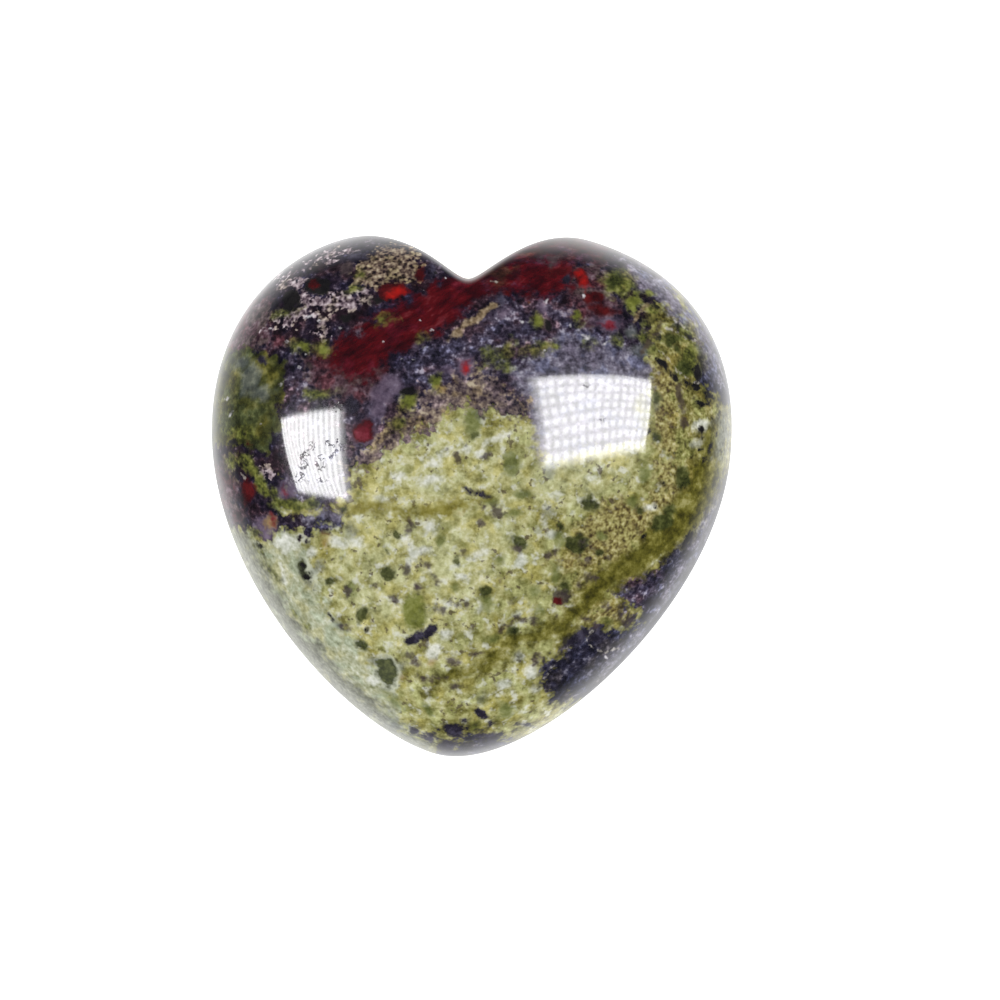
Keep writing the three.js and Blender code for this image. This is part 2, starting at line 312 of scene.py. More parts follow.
SPOTS = {
    "deep_red": [
        (393, 291, 28, 20, 15), (583, 280, 20, 15, -40), (593, 297, 15, 12, 20), (313, 287, 9, 10),
        (564, 270, 24, 5, 12), (602, 309, 24, 8, -16), (364, 431, 23, 25), (249, 490, 15, 26, -10),
        (419, 272, 11, 14), (558, 601, 9, 8), (508, 293, 10, 8), (250, 444, 8, 5),
    ],
    "bright_red": [
        (398, 292, 14, 8, 25), (394, 297, 8, 5, -10), (580, 275, 8, 8), (586, 283, 11, 9, -30),
        (464, 369, 5, 7, -20),
    ],
    "crimson": [
        (464, 367, 11, 16, -10), (364, 431, 17, 19), (609, 323, 14, 7, -5), (286, 490, 5, 8),
        (272, 520, 4, 9, 8),
    ],
    "lavender": [
        (386, 391, 38, 24, 42), (377, 410, 24, 15, 60), (443, 370, 15, 7, -10), (464, 367, 20, 25, -10),
        (504, 313, 12, 9, 40), (543, 305, 9, 14, 20), (288, 490, 21, 20), (265, 527, 23, 23),
        (365, 432, 25, 27), (608, 322, 26, 15, -5), (417, 346, 12, 5, 30),
    ],
    "grey_blue": [
        (249, 378, 20, 32, -20), (262, 391, 22, 14), (240, 364, 14, 12), (372, 663, 12, 9),
        (403, 664, 8, 8), (354, 527, 12, 16), (317, 566, 10, 12), (393, 721, 9, 7), (424, 531, 8, 6),
        (548, 512, 18, 9), (640, 350, 22, 12), (634, 330, 9, 12), (340, 622, 10, 8), (480, 700, 12, 8),
        (519, 657, 9, 8), (656, 407, 6, 6), (549, 469, 13, 15),
    ],
    "olive": [
        (303, 346, 20, 14), (322, 348, 15, 13), (352, 290, 13, 7, 30), (688, 362, 30, 34, -20),
        (425, 340, 8, 9), (384, 322, 10, 7), (409, 405, 16, 19), (436, 382, 10, 14, 10),
        (231, 466, 8, 14), (398, 425, 13, 11), (489, 357, 9, 15), (504, 352, 11, 13, 30),
        (515, 345, 10, 8), (530, 353, 16, 13), (545, 346, 18, 10, 10), (554, 349, 9, 7),
        (500, 366, 16, 6), (537, 320, 9, 16, 10), (618, 284, 30, 27), (634, 303, 14, 14),
        (649, 296, 7, 6), (577, 317, 7, 13), (647, 336, 11, 10), (618, 341, 6, 9, -20),
        (589, 343, 8, 6), (654, 314, 14, 12, 20), (684, 334, 20, 16), (652, 350, 9, 9),
        (318, 396, 20, 9), (322, 288, 7, 8), (285, 311, 14, 5, 20), (362, 275, 9, 6),
        (254, 532, 8, 9, 40), (232, 430, 10, 18), (243, 432, 20, 9),
    ],
    "amber": [
        (433, 662, 7, 6), (402, 677, 6, 8), (270, 523, 11, 13), (442, 388, 8, 5), (673, 456, 5, 6),
        (459, 512, 7, 6), (324, 541, 6, 12),
    ],
    "bead": [
        (634, 303, 13, 13), (649, 296, 6, 6), (408, 403, 11, 14), (436, 380, 7, 10, 10),
        (577, 316, 6, 9), (538, 318, 7, 9, 10), (305, 346, 12, 8), (324, 348, 8, 7), (414, 612, 20, 38),
    ],
    "dark_green": [
        (613, 283, 14, 17, -30), (668, 338, 14, 12), (676, 348, 8, 10), (686, 366, 16, 18),
        (683, 479, 15, 26), (662, 520, 26, 16, 30), (668, 508, 12, 12), (656, 437, 11, 13),
        (475, 437, 7, 5), (520, 541, 14, 17, 10), (577, 545, 20, 22), (591, 502, 10, 21, 25),
        (562, 526, 9, 12), (459, 557, 8, 12), (387, 573, 16, 17, 30), (387, 671, 23, 30, 8),
        (305, 571, 9, 28, 24), (361, 613, 11, 14, -30), (361, 644, 9, 12, 20), (566, 584, 9, 16),
        (384, 553, 8, 4, -40), (396, 534, 7, 8), (514, 631, 16, 9), (640, 510, 8, 10), (598, 553, 9, 6),
        (656, 400, 9, 12), (484, 591, 11, 12), (331, 584, 10, 9), (343, 511, 5, 5),
    ],
    "mid_green": [
        (473, 419, 17, 38), (474, 435, 10, 10), (508, 712, 18, 15, 20), (475, 728, 15, 10),
        (513, 464, 21, 27, 10), (428, 712, 9, 15, 20), (488, 500, 14, 9), (511, 514, 20, 8),
        (540, 612, 12, 10), (645, 475, 12, 16), (633, 500, 12, 10), (601, 535, 12, 10),
        (486, 606, 13, 22), (352, 590, 12, 16), (440, 540, 8, 8), (524, 495, 12, 7), (455, 588, 9, 8),
        (560, 540, 12, 16, 20), (535, 590, 9, 14), (493, 640, 14, 9, 20), (390, 700, 22, 8, -30),
        (556, 575, 9, 16), (608, 620, 12, 9), (500, 560, 9, 7),
    ],
    "halo": [
        (388, 672, 29, 37, 8), (375, 684, 15, 8, -30), (520, 560, 9, 9), (497, 526, 7, 6),
        (308, 572, 13, 32, 22), (516, 615, 18, 4, 30),
    ],
    "white": [
        (435, 463, 13, 6, 20), (465, 451, 12, 8, 30), (430, 481, 20, 8, 10), (429, 527, 12, 10, -30),
        (480, 554, 15, 6), (417, 552, 20, 9, 20), (412, 561, 9, 12), (521, 559, 8, 9), (552, 536, 7, 8),
        (571, 605, 7, 5, 30), (556, 610, 8, 7), (431, 652, 13, 15, 30), (447, 633, 11, 9),
        (448, 607, 14, 8), (531, 672, 13, 12), (505, 682, 14, 9), (286, 544, 26, 16, 10),
        (303, 537, 14, 10), (340, 542, 18, 10), (312, 552, 12, 8), (331, 524, 12, 5, 25),
        (412, 551, 9, 24, 15), (444, 452, 16, 6, 20), (462, 576, 9, 8), (478, 452, 10, 6, 25),
        (398, 476, 12, 7), (380, 500, 14, 6), (536, 688, 10, 6), (374, 684, 13, 7, -30),
        (700, 427, 14, 12), (699, 442, 10, 7), (709, 456, 12, 10), (322, 521, 9, 7), (437, 650, 9, 12),
        (407, 543, 12, 7), (594, 480, 9, 6), (649, 508, 12, 6), (478, 609, 6, 8), (358, 540, 12, 8),
    ],
    "violet": [
        (344, 269, 15, 13), (553, 259, 18, 9), (484, 418, 5, 4), (393, 600, 10, 9),
        (496, 512, 14, 11, -40), (411, 524, 7, 11), (435, 584, 6, 8, 20), (419, 588, 6, 6),
        (562, 596, 22, 18, 20), (624, 620, 16, 9, -35), (583, 621, 9, 7), (595, 625, 7, 5),
        (607, 606, 10, 5, -20), (516, 549, 6, 6, 30), (410, 656, 9, 7, -30), (415, 662, 8, 9),
        (456, 661, 9, 6, 10), (472, 652, 8, 4), (441, 612, 7, 4), (431, 609, 7, 6), (467, 607, 6, 5),
        (457, 606, 6, 5), (425, 680, 8, 4, -20), (436, 679, 8, 3), (484, 507, 5, 4), (483, 524, 6, 6),
        (486, 454, 4, 4), (428, 565, 6, 11, 20), (434, 573, 5, 5), (409, 571, 6, 9), (348, 592, 8, 8),
        (348, 624, 9, 7, 20), (500, 582, 5, 5), (458, 687, 8, 6), (585, 549, 6, 11, 20),
        (556, 613, 9, 4, -50), (549, 556, 5, 5), (557, 554, 5, 4), (578, 561, 7, 4), (586, 561, 6, 6),
        (588, 579, 9, 6, -20), (578, 581, 5, 4), (607, 559, 6, 6), (535, 661, 9, 8, 30),
        (514, 600, 4, 4), (465, 552, 4, 4), (372, 588, 4, 4),
    ],
    "black": [
        (316, 288, 27, 18, 5), (290, 301, 17, 18, 20), (547, 325, 6, 12, 15), (408, 393, 17, 9, 15),
        (698, 433, 6, 8), (699, 447, 5, 4), (704, 456, 7, 6, 20), (710, 447, 6, 7), (717, 435, 4, 5),
        (719, 416, 5, 7), (649, 431, 4, 5), (699, 370, 6, 26, -8), (367, 626, 5, 6),
        (308, 576, 6, 20, 24), (232, 443, 9, 6, 20), (688, 537, 8, 18, -30), (700, 405, 12, 4, -20),
        (656, 508, 3, 3), (661, 487, 8, 5, -40), (345, 316, 14, 9), (378, 302, 14, 6, 10),
        (643, 538, 3, 3), (437, 272, 4, 4),
    ],
    "dusk_spot": [
        (455, 729, 25, 14, -10), (481, 716, 14, 9, -20), (465, 720, 9, 6), (491, 724, 8, 6),
        (430, 737, 20, 8, -10), (523, 726, 12, 6), (489, 737, 22, 8, 10), (447, 742, 22, 8),
        (433, 269, 7, 12), (356, 257, 20, 10, 10), (502, 298, 12, 9), (567, 279, 10, 9),
        (352, 406, 14, 16), (262, 361, 10, 9), (416, 730, 11, 7), (578, 640, 20, 10, 30),
        (650, 603, 20, 10, 10), (598, 637, 16, 12),
    ],
    "glint": [
        (298, 368, 3.1, 2.5, -30), (289, 341, 1.9, 1.9), (303, 355, 2.5, 1.9), (339, 328, 2.5, 1.9),
        (384, 341, 2.5, 2.5), (447, 278, 2.1, 2.1), (420, 323, 2.5, 1.9), (402, 358, 3.7, 2.5, 10),
        (414, 359, 3.1, 1.9), (434, 331, 3.1, 2.5), (226, 400, 2.5, 2.5), (230, 413, 2.5, 2.1),
        (250, 417, 1.9, 1.9), (262, 424, 1.9, 1.9), (281, 384, 2.5, 1.9), (657, 561, 2.1, 2.1),
        (641, 599, 1.9, 1.9), (550, 339, 3.1, 1.9, -40), (544, 352, 2.5, 1.9), (569, 327, 2.5, 3.1),
        (523, 320, 2.5, 1.9), (500, 305, 1.9, 1.9), (585, 295, 2.5, 2.5), (604, 344, 3.1, 1.9, 20),
        (548, 300, 2.5, 3.1), (586, 337, 4.3, 1.5, -25), (271, 325, 3.1, 2.5), (320, 320, 3.7, 3.1),
        (308, 317, 5, 2.5, 20), (422, 289, 1.9, 1.9), (565, 605, 3.1, 2.5), (606, 658, 1.9, 1.9),
    ],
    "pitted": [
        (332, 440, 9, 7), (340, 446, 8, 7, 30), (321, 464, 9, 10), (306, 456, 7, 5, -20),
        (303, 470, 12, 9), (300, 478, 12, 7, 20), (320, 482, 12, 4, -5), (325, 457, 7, 5),
        (313, 447, 5, 4), (338, 408, 6, 4), (308, 482, 9, 4), (331, 457, 5, 4), (601, 421, 3, 3),
        (587, 386, 3, 3),
    ],
}

# The back carries the same minerals, turned about the crown, with its spots thrown elsewhere
BACK_TURN = math.radians(152)
BACK_SEED = 21
THROW = 215  # how far to each side of the stone's middle its spots are thrown, in pixels
BLEND_START = 1.0  # millimetres below the rim where the front's layout starts to give way
BLEND_END = 5.5
BLEND_SWAY = 1.5  # how far that level dips and returns as it runs round the stone
BLEND_DIPS = (5, 8)  # how often it dips, in each of the two waves it is made of
FAR = 40.0  # pixels outside every mark, where a depth stops mattering

# Waves that carry the minerals' edges to and fro
EDGE_SEED = 5
EDGE_WAVES = (14.0, 90.0)  # the shortest and the longest, in pixels
EDGE_WAVE_COUNT = 18
EDGE_SWAY = 0.02  # how far each one carries them, as a share of its length

# How the grain is drawn. Its spread is the standard deviation of every grain about 0.5
GRAIN_SPREAD = 0.17
OCTAVE_SPREAD = 0.1255  # the spread of one octave of the noise it is made from
SHADE_REACH = 0.5  # how far from 0.5 a grain brings up the darkest and the palest shade
COOL_RISE = (0.48, 0.24)  # where the tint starts to turn a mineral to its cool hue, and ends
WARM_RISE = (0.52, 0.76)  # and to its warm hue
LEAN = 0.5  # how far it turns

# The polish, in millimetres: the height of its slow waves and of its grain, and how deep a pit is
WAVE_HEIGHT = 0.011
SAND_HEIGHT = 0.0003
PIT_DEPTH = 0.03


def rim_curve():
    """Evenly spaced points round the rim, fitted to the frame's box, and the crown with them."""
    nodes = [np.array(node) for node in RIM_NODES.values()]
    share = np.linspace(0, 1, CURVE_STEPS, endpoint=False)[:, None]
    runs = []
    for (start, leaving), (end, arriving) in zip(nodes, nodes[1:] + nodes[:1]):
        runs.append(
            (1 - share) ** 3 * start
            + 3 * (1 - share) ** 2 * share * (start + leaving)
            + 3 * (1 - share) * share**2 * (end - arriving)
            + share**3 * end
        )
    curve = np.vstack(runs + [runs[0][:1]])
    along = np.append(0, np.cumsum(np.hypot(*np.diff(curve, axis=0).T)))
    wanted = np.linspace(0, along[-1], POINTS_ROUND, endpoint=False)
    rim = np.column_stack([np.interp(wanted, along, curve[:, axis]) for axis in (0, 1)])
    lowest, highest = rim.min(0), rim.max(0)
    fit = (HIGH[:2] - LOW[:2]) / (highest - lowest)
    return (rim - lowest) * fit + LOW[:2], (np.array(CROWN) - lowest) * fit + LOW[:2]


def ring(rim, crown, turn, side):
    """The points round the stone, from a turn of 0 at the crown or the flat to 1 at the rim."""
    outward = rim - crown
    reach = np.hypot(*outward.T)
    off_notch = np.arctan2(outward[:, 0], outward[:, 1])
    bridged = reach + NOTCH_CUT * np.exp(-((off_notch / NOTCH_SPREAD) ** 2))
    flat_share = (1 - (1 - FLAT_DEPTH / HALF_THICKNESS) ** PROFILE) ** (1 / PROFILE)
    innermost = flat_share * bridged / reach if side < 0 else np.zeros(len(rim))
    start = np.arcsin(innermost ** (PROFILE / 2))
    share = np.sin(start + (math.pi / 2 - start) * turn) ** (2 / PROFILE)
    dome = (1 - np.minimum(share * reach / bridged, 1) ** PROFILE) ** (1 / PROFILE)
    edge = (1 - np.minimum(share, 1) ** EDGE) ** (1 / EDGE)
    level = LOW[2] + GIRDLE_HEIGHT + side * HALF_THICKNESS * dome * edge
    return np.column_stack([crown + outward * share[:, None], level])


def heart_points():
    """All points of the surface in millimetres: the crown, the rings down to the flat, its middle."""
    rim, crown = rim_curve()
    rings = [ring(rim, crown, i / FRONT_ROWS, 1) for i in range(1, FRONT_ROWS + 1)]
    rings += [ring(rim, crown, 1 - i / BACK_ROWS, -1) for i in range(1, BACK_ROWS + 1)]
    rings[-1][:, 2] = LOW[2]
    return np.vstack([[*crown, HIGH[2]], *rings, [*crown, LOW[2]]])


def heart_faces():
    """Quads between the rings, and fans of triangles at the crown and on the flat."""
    rows = FRONT_ROWS + BACK_ROWS
    here = np.arange(POINTS_ROUND)
    after = (here + 1) % POINTS_ROUND
    top, bottom = 0, rows * POINTS_ROUND + 1
    faces = [(top, 1 + i, 1 + j) for i, j in zip(here, after)]
    for row in range(rows - 1):
        upper = 1 + row * POINTS_ROUND
        lower = upper + POINTS_ROUND
        faces += np.column_stack([upper + here, lower + here, lower + after, upper + after]).tolist()
    last = 1 + (rows - 1) * POINTS_ROUND
    faces += [(bottom, last + j, last + i) for i, j in zip(here, after)]
    return faces


def photo_place(points):
    """Where in the photograph each point of the front shows, in pixels."""
    nearness = CAMERA_DISTANCE / (CAMERA[2] - points[:, 2:])
    return PHOTO_MIDDLE + (points[:, :2] - CAMERA[:2]) * nearness / (PIXEL, -PIXEL)


def turned(places, turn):
    """Places turned anticlockwise, as seen in the photograph, about its own corner."""
    cos, sin = math.cos(turn), math.sin(turn)
    return places @ np.array([[cos, -sin], [sin, cos]])


def spot_depth(at, x, y, length, width, turn=0):
    """Pixels inside an oval spot."""
    level = turned(at - (x, y), -math.radians(turn))
    return (1 - np.hypot(*(level * 2 / (length, width)).T)) * min(length, width) / 2


def seam_depth(at, seam):
    """Pixels inside a seam whose width changes along it."""
    deepest = np.full(len(at), -FAR)
    for (x, y, width), (next_x, next_y, next_width) in zip(seam, seam[1:]):
        run = np.array([next_x - x, next_y - y])
        share = np.clip((at - (x, y)) @ run / (run @ run), 0, 1)
        away = np.hypot(*(at - (x, y) - share[:, None] * run).T)
        deepest = np.maximum(deepest, (width + (next_width - width) * share) / 2 - away)
    return deepest


def patch_depth(at, corners):
    """Pixels inside a patch, from its nearest edge."""
    nearest = np.full(len(at), np.inf)
    inside = np.zeros(len(at), bool)
    for start, end in zip(corners, corners[1:] + corners[:1]):
        start, run = np.array(start, float), np.subtract(end, start)
        share = np.clip((at - start) @ run / (run @ run), 0, 1)
        nearest = np.minimum(nearest, np.hypot(*(at - start - share[:, None] * run).T))
        if run[1]:
            crossing = start[0] + (at[:, 1] - start[1]) * run[0] / run[1]
            level = (start[1] > at[:, 1]) != (start[1] + run[1] > at[:, 1])
            inside ^= level & (at[:, 0] < crossing)
    return np.where(inside, nearest, -nearest)


def thrown(spots, chance):
    """The same spots thrown anywhere on the stone, with new turns."""
    return [
        (*(STONE_MIDDLE + chance.uniform(-THROW, THROW, 2)), length, width, chance.uniform(0, 180))
        for _, _, length, width, *_ in spots
    ]


def depth(at, mineral, chance=None):
    """Millimetres inside a mineral's marks. With a source of chance, its spots lie elsewhere."""
    spots = SPOTS.get(mineral, [])
    if chance is not None:
        spots = thrown(spots, chance)
    marks = [spot_depth(at, *spot) for spot in spots]
    marks += [seam_depth(at, seam) for seam in SEAMS.get(mineral, [])]
    marks += [patch_depth(at, patch) for patch in PATCHES.get(mineral, [])]
    return np.maximum(np.max(marks, axis=0), -FAR) * PIXEL


MINERALS = sorted({*PATCHES, *SEAMS, *SPOTS})


def unsettled(at):
    """Places moved about smoothly by a few pixels, so that the minerals' edges run unevenly."""
    chance = np.random.default_rng(EDGE_SEED)
    moved = at.copy()
    for length in np.geomspace(*EDGE_WAVES, EDGE_WAVE_COUNT):
        heading, phase = chance.uniform(0, 2 * math.pi, 2)
        along = at @ (math.cos(heading), math.sin(heading))
        wave = np.sin(along * 2 * math.pi / length + phase)
        moved += wave[:, None] * chance.uniform(-1, 1, 2) * length * EDGE_SWAY
    return moved


def lay_minerals(mesh, points):
    """Stores each mineral's depth on the surface, as a named attribute."""
    front = unsettled(photo_place(points))
    crown = photo_place(points[:1])
    back = turned(front - crown, BACK_TURN) + crown
    around = np.arctan2(points[:, 1], points[:, 0])
    dips = sum(1 - np.cos(times * around) for times in BLEND_DIPS) / 2
    below = GIRDLE_HEIGHT - points[:, 2] - BLEND_SWAY * dips
    share = np.clip((below - BLEND_START) / (BLEND_END - BLEND_START), 0, 1)
    share = share * share * (3 - 2 * share)
    chance = np.random.default_rng(BACK_SEED)
    for mineral in MINERALS:
        laid = depth(front, mineral) * (1 - share) + depth(back, mineral, chance) * share
        mesh.attributes.new(mineral, "FLOAT", "POINT").data.foreach_set("value", laid.astype("f"))


def placed(name, data):
    """A new object with that data, in the scene."""
    thing = bpy.data.objects.new(name, data)
    bpy.context.scene.collection.objects.link(thing)
    return thing


def polished_heart(points):
    """The stone's fine surface, which stands for the frame's heart."""
    mesh = bpy.data.meshes.new("polished_heart")
    mesh.from_pydata((points * MM).tolist(), [], heart_faces())
    mesh.shade_smooth()
    lay_minerals(mesh, points)
    stone = placed("polished_heart", mesh)
    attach(stone, "root")
    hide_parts("heart")
    return stone


class Amount:
    """One number over the surface. Arithmetic on it adds Math nodes to its finish."""

    def __init__(self, finish, socket):
        self.finish = finish
        self.socket = socket

    def __add__(self, other):
        return self.finish.maths("ADD", self, other)

    def __sub__(self, other):
        return self.finish.maths("SUBTRACT", self, other)

    def __rsub__(self, other):
        return self.finish.maths("SUBTRACT", other, self)

    def __mul__(self, other):
        return self.finish.maths("MULTIPLY", self, other)

    def __truediv__(self, other):
        return self.finish.maths("DIVIDE", self, other)

    def __rtruediv__(self, other):
        return self.finish.maths("DIVIDE", other, self)

    def __abs__(self):
        return self.finish.maths("ABSOLUTE", self, 0.0)

    __radd__ = __add__
    __rmul__ = __mul__


def linear(level):
    """A screen's level, 0 to 255, in the linear numbers of the shader."""
    level = level / 255
    return level / 12.92 if level <= 0.04045 else ((level + 0.055) / 1.055) ** 2.4


def colour(red, green, blue):
    """The shader's colour for one given as it looks on a screen, 0 to 255."""
    return (linear(red), linear(green), linear(blue), 1.0)


class Finish:
    """The nodes of a material, or of the room's light."""

    def __init__(self, owner):
        self.owner = owner
        owner.use_nodes = True
        self.tree = owner.node_tree
        self.tree.nodes.clear()

    def node(self, kind, settings=None, inputs=None, output=0):
        """Adds a node: its settings first, then its sockets' values or links."""
        made = self.tree.nodes.new("ShaderNode" + kind)
        for name, value in (settings or {}).items():
            if name == "stops":
                self.set_stops(made.color_ramp, value)
            else:
                setattr(made, name, value)
        for name, value in (inputs or {}).items():
            if isinstance(value, Amount):
                self.tree.links.new(value.socket, made.inputs[name])
            else:
                made.inputs[name].default_value = value
        return Amount(self, made.outputs[output]) if made.outputs else None

    def set_stops(self, ramp, stops):
        """Gives a colour ramp its stops: pairs of a position and a colour."""
        while len(ramp.elements) < len(stops):
            ramp.elements.new(1.0)
        for element, (position, shade) in zip(ramp.elements, stops):
            element.position = position
            element.color = shade

    def maths(self, operation, first, second):
        """A Math node's result."""
        return self.node("Math", {"operation": operation}, {0: first, 1: second})

    def mix(self, share, under, over, blend="MIX"):
        """One colour over another. With COLOR, only the hue changes, and its lights and darks stay."""
        settings = {"data_type": "RGBA", "blend_type": blend}
        return self.node("Mix", settings, {0: share, 6: under, 7: over}, output=2)

    def rise(self, amount, low, high):
        """0 below low and 1 above high, with a smooth change between them."""
        return self.node(
            "MapRange",
            {"interpolation_type": "SMOOTHSTEP"},
            {"Value": amount, "From Min": low, "From Max": high},
        )

    def wave(self, amount):
        """Rises from 0 to 1 and falls back with every whole step of amount."""
        part = self.node("Math", {"operation": "PINGPONG"}, {0: amount, 1: 0.5}) * 2
        return self.rise(part, 0.1, 0.8)


class Layer(NamedTuple):
    """A mineral as it is laid on the stone."""

    mineral: str
    shades: list  # its colours from dark to pale, 0 to 255, as its grain brings them up
    grain: str = "mottle"  # the grain that brings them up
    ragged: float = 0.07  # how far its edge strays, in millimetres
    crumbly: float = 0.03  # how far fine grains cross its edge, in millimetres
    soft: float = 0.16  # how far it takes to cover what lies under it, in millimetres
    share: float = 1.0  # how much it covers
    spread: float = 0.0  # how far it reaches out beyond its marks, in millimetres
    cool: tuple = None  # the hue that some parts of it lean to
    warm: tuple = None  # the hue that other parts lean to


MASS_SHADES = [(94, 90, 43), (127, 124, 68), (161, 158, 103), (188, 186, 136), (211, 210, 180)]
MASS_COOL = (146, 150, 96)
MASS_WARM = (160, 150, 66)
PEPPER_SHADES = [(58, 41, 30), (90, 72, 46), (140, 127, 76), (178, 169, 110), (206, 197, 152)]
FRINGE_SHADES = [(44, 42, 16), (84, 81, 34), (120, 116, 58), (150, 145, 92)]
OLIVE_SHADES = [(34, 36, 16), (69, 73, 30), (108, 112, 49), (144, 145, 83)]

# The mass, with its paler and darker parts
GROUND = [
    Layer(
        "pale_mass",
        [(122, 119, 70), (154, 151, 96), (182, 180, 126), (203, 201, 157), (220, 220, 196)],
        "crumbs", 0.4, 0.05, 1.2, cool=(174, 177, 132), warm=(180, 171, 92),
    ),
    Layer(
        "olive_mass",
        [(54, 50, 20), (93, 88, 42), (132, 126, 71), (166, 160, 108), (192, 188, 150)],
        "salt", 0.35, 0.05, 0.9, cool=(100, 104, 56), warm=(132, 116, 48),
    ),
]

# What lies in it and over it, each over the ones before
LAYERS = [
    Layer(
        "sage",
        [(126, 130, 96), (152, 155, 123), (174, 177, 149), (194, 197, 172), (216, 219, 206)],
        "flakes", 0.25, 0.04, 0.5, 0.92, cool=(146, 158, 138), warm=(164, 160, 112),
    ),
    Layer("halo", [(184, 188, 166), (216, 220, 202)], soft=0.22, share=0.85),
    Layer("white", [(180, 184, 168), (238, 239, 232)], "salt", soft=0.28, share=0.88),
    Layer("mid_green", [(78, 86, 38), (106, 113, 60), (136, 140, 92)], soft=0.28, share=0.88),
    # Painted shade along the rim: darker grey-green, with the sage's flaky grain
    Layer(
        "dim_sage",
        [(78, 80, 66), (106, 108, 93), (130, 132, 116), (158, 160, 144)],
        "flakes", 0.2, 0.06, 0.5,
    ),
    Layer("stain", [(94, 88, 26), (128, 120, 46), (154, 147, 76)], ragged=0.2, soft=0.5, share=0.92),
    # A green fringe that shows round the dark patches, which come next
    Layer("night", FRINGE_SHADES, ragged=0.25, soft=0.4, share=0.5, spread=0.3),
    Layer("dusk", FRINGE_SHADES, ragged=0.3, soft=0.6, share=0.8, spread=0.6),
    Layer(
        "night",
        [(12, 7, 18), (22, 15, 28), (34, 25, 40), (54, 44, 58), (104, 92, 106)],
        "salt", 0.24, 0.04, 0.26, cool=(30, 32, 62), warm=(70, 40, 42),
    ),
    Layer(
        "dusk",
        [(12, 11, 22), (24, 22, 36), (38, 36, 53), (60, 58, 75), (110, 108, 124)],
        "salt", 0.3, 0.05, 0.4, cool=(46, 50, 80), warm=(80, 72, 70),
    ),
    Layer(
        "belt",
        [(18, 14, 27), (36, 29, 45), (59, 50, 66), (92, 84, 102), (168, 162, 178)],
        "salt", 0.3, 0.08, 0.5, cool=(58, 60, 86), warm=(98, 66, 72),
    ),
    Layer(
        "maroon",
        [(34, 18, 28), (56, 33, 43), (80, 55, 63), (102, 77, 86), (124, 104, 112)],
        "salt", 0.3, 0.06, 0.5, 0.9, cool=(72, 66, 60), warm=(104, 30, 42),
    ),
    Layer(
        "blood",
        [(38, 2, 9), (53, 3, 11), (70, 4, 13), (86, 8, 17), (108, 38, 44)],
        "strands", 0.26, 0.05, 0.6, cool=(60, 8, 22),
    ),
    Layer(
        "lobe_blood",
        [(24, 8, 16), (38, 12, 22), (56, 18, 28), (76, 32, 40), (98, 70, 72)],
        "strands", 0.3, 0.06, 0.7, 0.9, cool=(40, 24, 42), warm=(64, 50, 28),
    ),
    # Its patches are the stone's own colour; its seams along the right rim are partly painted
    # reflection
    Layer(
        "slate",
        [(44, 39, 53), (71, 66, 81), (99, 94, 112), (126, 122, 138), (160, 157, 172)],
        "salt", 0.2, 0.06, 0.5, 0.95, cool=(84, 90, 124), warm=(98, 90, 108),
    ),
    Layer(
        "brown",
        [(38, 28, 36), (68, 55, 61), (103, 89, 85), (142, 126, 111), (184, 171, 148)],
        "salt", 0.35, 0.2, 0.4, cool=(116, 98, 112), warm=(128, 108, 72),
    ),
    Layer(
        "moss_line",
        [(46, 45, 8), (70, 67, 16), (96, 92, 30), (126, 121, 56), (158, 153, 98)],
        ragged=0.2, soft=0.55, share=0.97,
    ),
    Layer(
        "moss",
        [(30, 32, 12), (48, 50, 20), (68, 70, 32), (96, 97, 54), (126, 124, 80)],
        ragged=0.2, crumbly=0.05, soft=0.25, cool=(78, 90, 60), warm=(112, 104, 24),
    ),
    Layer("tan", [(104, 86, 62), (142, 122, 92), (176, 158, 126)], "sand", share=0.8),
    Layer("lavender", [(58, 46, 64), (96, 82, 102), (124, 110, 128)], soft=0.3, share=0.85),
    Layer("grey_blue", [(72, 78, 78), (100, 106, 104), (136, 142, 140)], soft=0.35, share=0.6),
    Layer(
        "beige",
        [(22, 15, 21), (48, 36, 36), (96, 79, 70), (142, 125, 106), (180, 167, 144)],
        "net", 0.2, 0.14, 0.2, warm=(150, 136, 96),
    ),
    Layer(
        "lace",
        [(34, 24, 34), (66, 52, 62), (116, 100, 108), (168, 152, 158), (206, 194, 198)],
        "net", 0.3, 0.14, 0.2, warm=(160, 146, 120),
    ),
    Layer("olive", OLIVE_SHADES, "salt", 0.14, 0.03, 0.42, 0.95, warm=(116, 104, 60)),
    Layer("streak", OLIVE_SHADES, "salt", 0.12, 0.03, 0.32, 0.95, cool=(98, 110, 54)),
    Layer("bead", [(74, 80, 28), (108, 114, 46), (138, 142, 74)], soft=0.22, share=0.94),
    Layer("amber", [(130, 104, 52), (170, 142, 84)], soft=0.25, share=0.7),
    Layer("umber", [(52, 42, 38), (86, 74, 62)], share=0.9),
    Layer(
        "dark_green", [(29, 35, 12), (55, 61, 26), (89, 94, 49)], "salt", 0.06, 0.03, 0.18, 0.94
    ),
    Layer("dusk_spot", [(20, 16, 28), (38, 34, 48), (74, 70, 88)], ragged=0.06),
    Layer("violet", [(42, 33, 38), (80, 68, 70)], "salt", 0.12, 0.03, 0.26, 0.85),
    Layer("black", [(14, 12, 16), (34, 32, 32)], soft=0.14),
    Layer("deep_red", [(42, 6, 10), (66, 10, 14), (96, 22, 24)], soft=0.2),
    Layer("crimson", [(76, 14, 26), (106, 24, 38), (136, 54, 68)], soft=0.22),
    Layer("bright_red", [(120, 10, 10), (184, 26, 18)], soft=0.3, share=0.9),
    Layer("hairline", [(120, 112, 104), (206, 200, 190)], "sand", 0.03, 0.03, 0.08, 0.6),
    Layer("glint", [(200, 196, 200), (224, 222, 226)], ragged=0.02, soft=0.1, share=0.9),
]


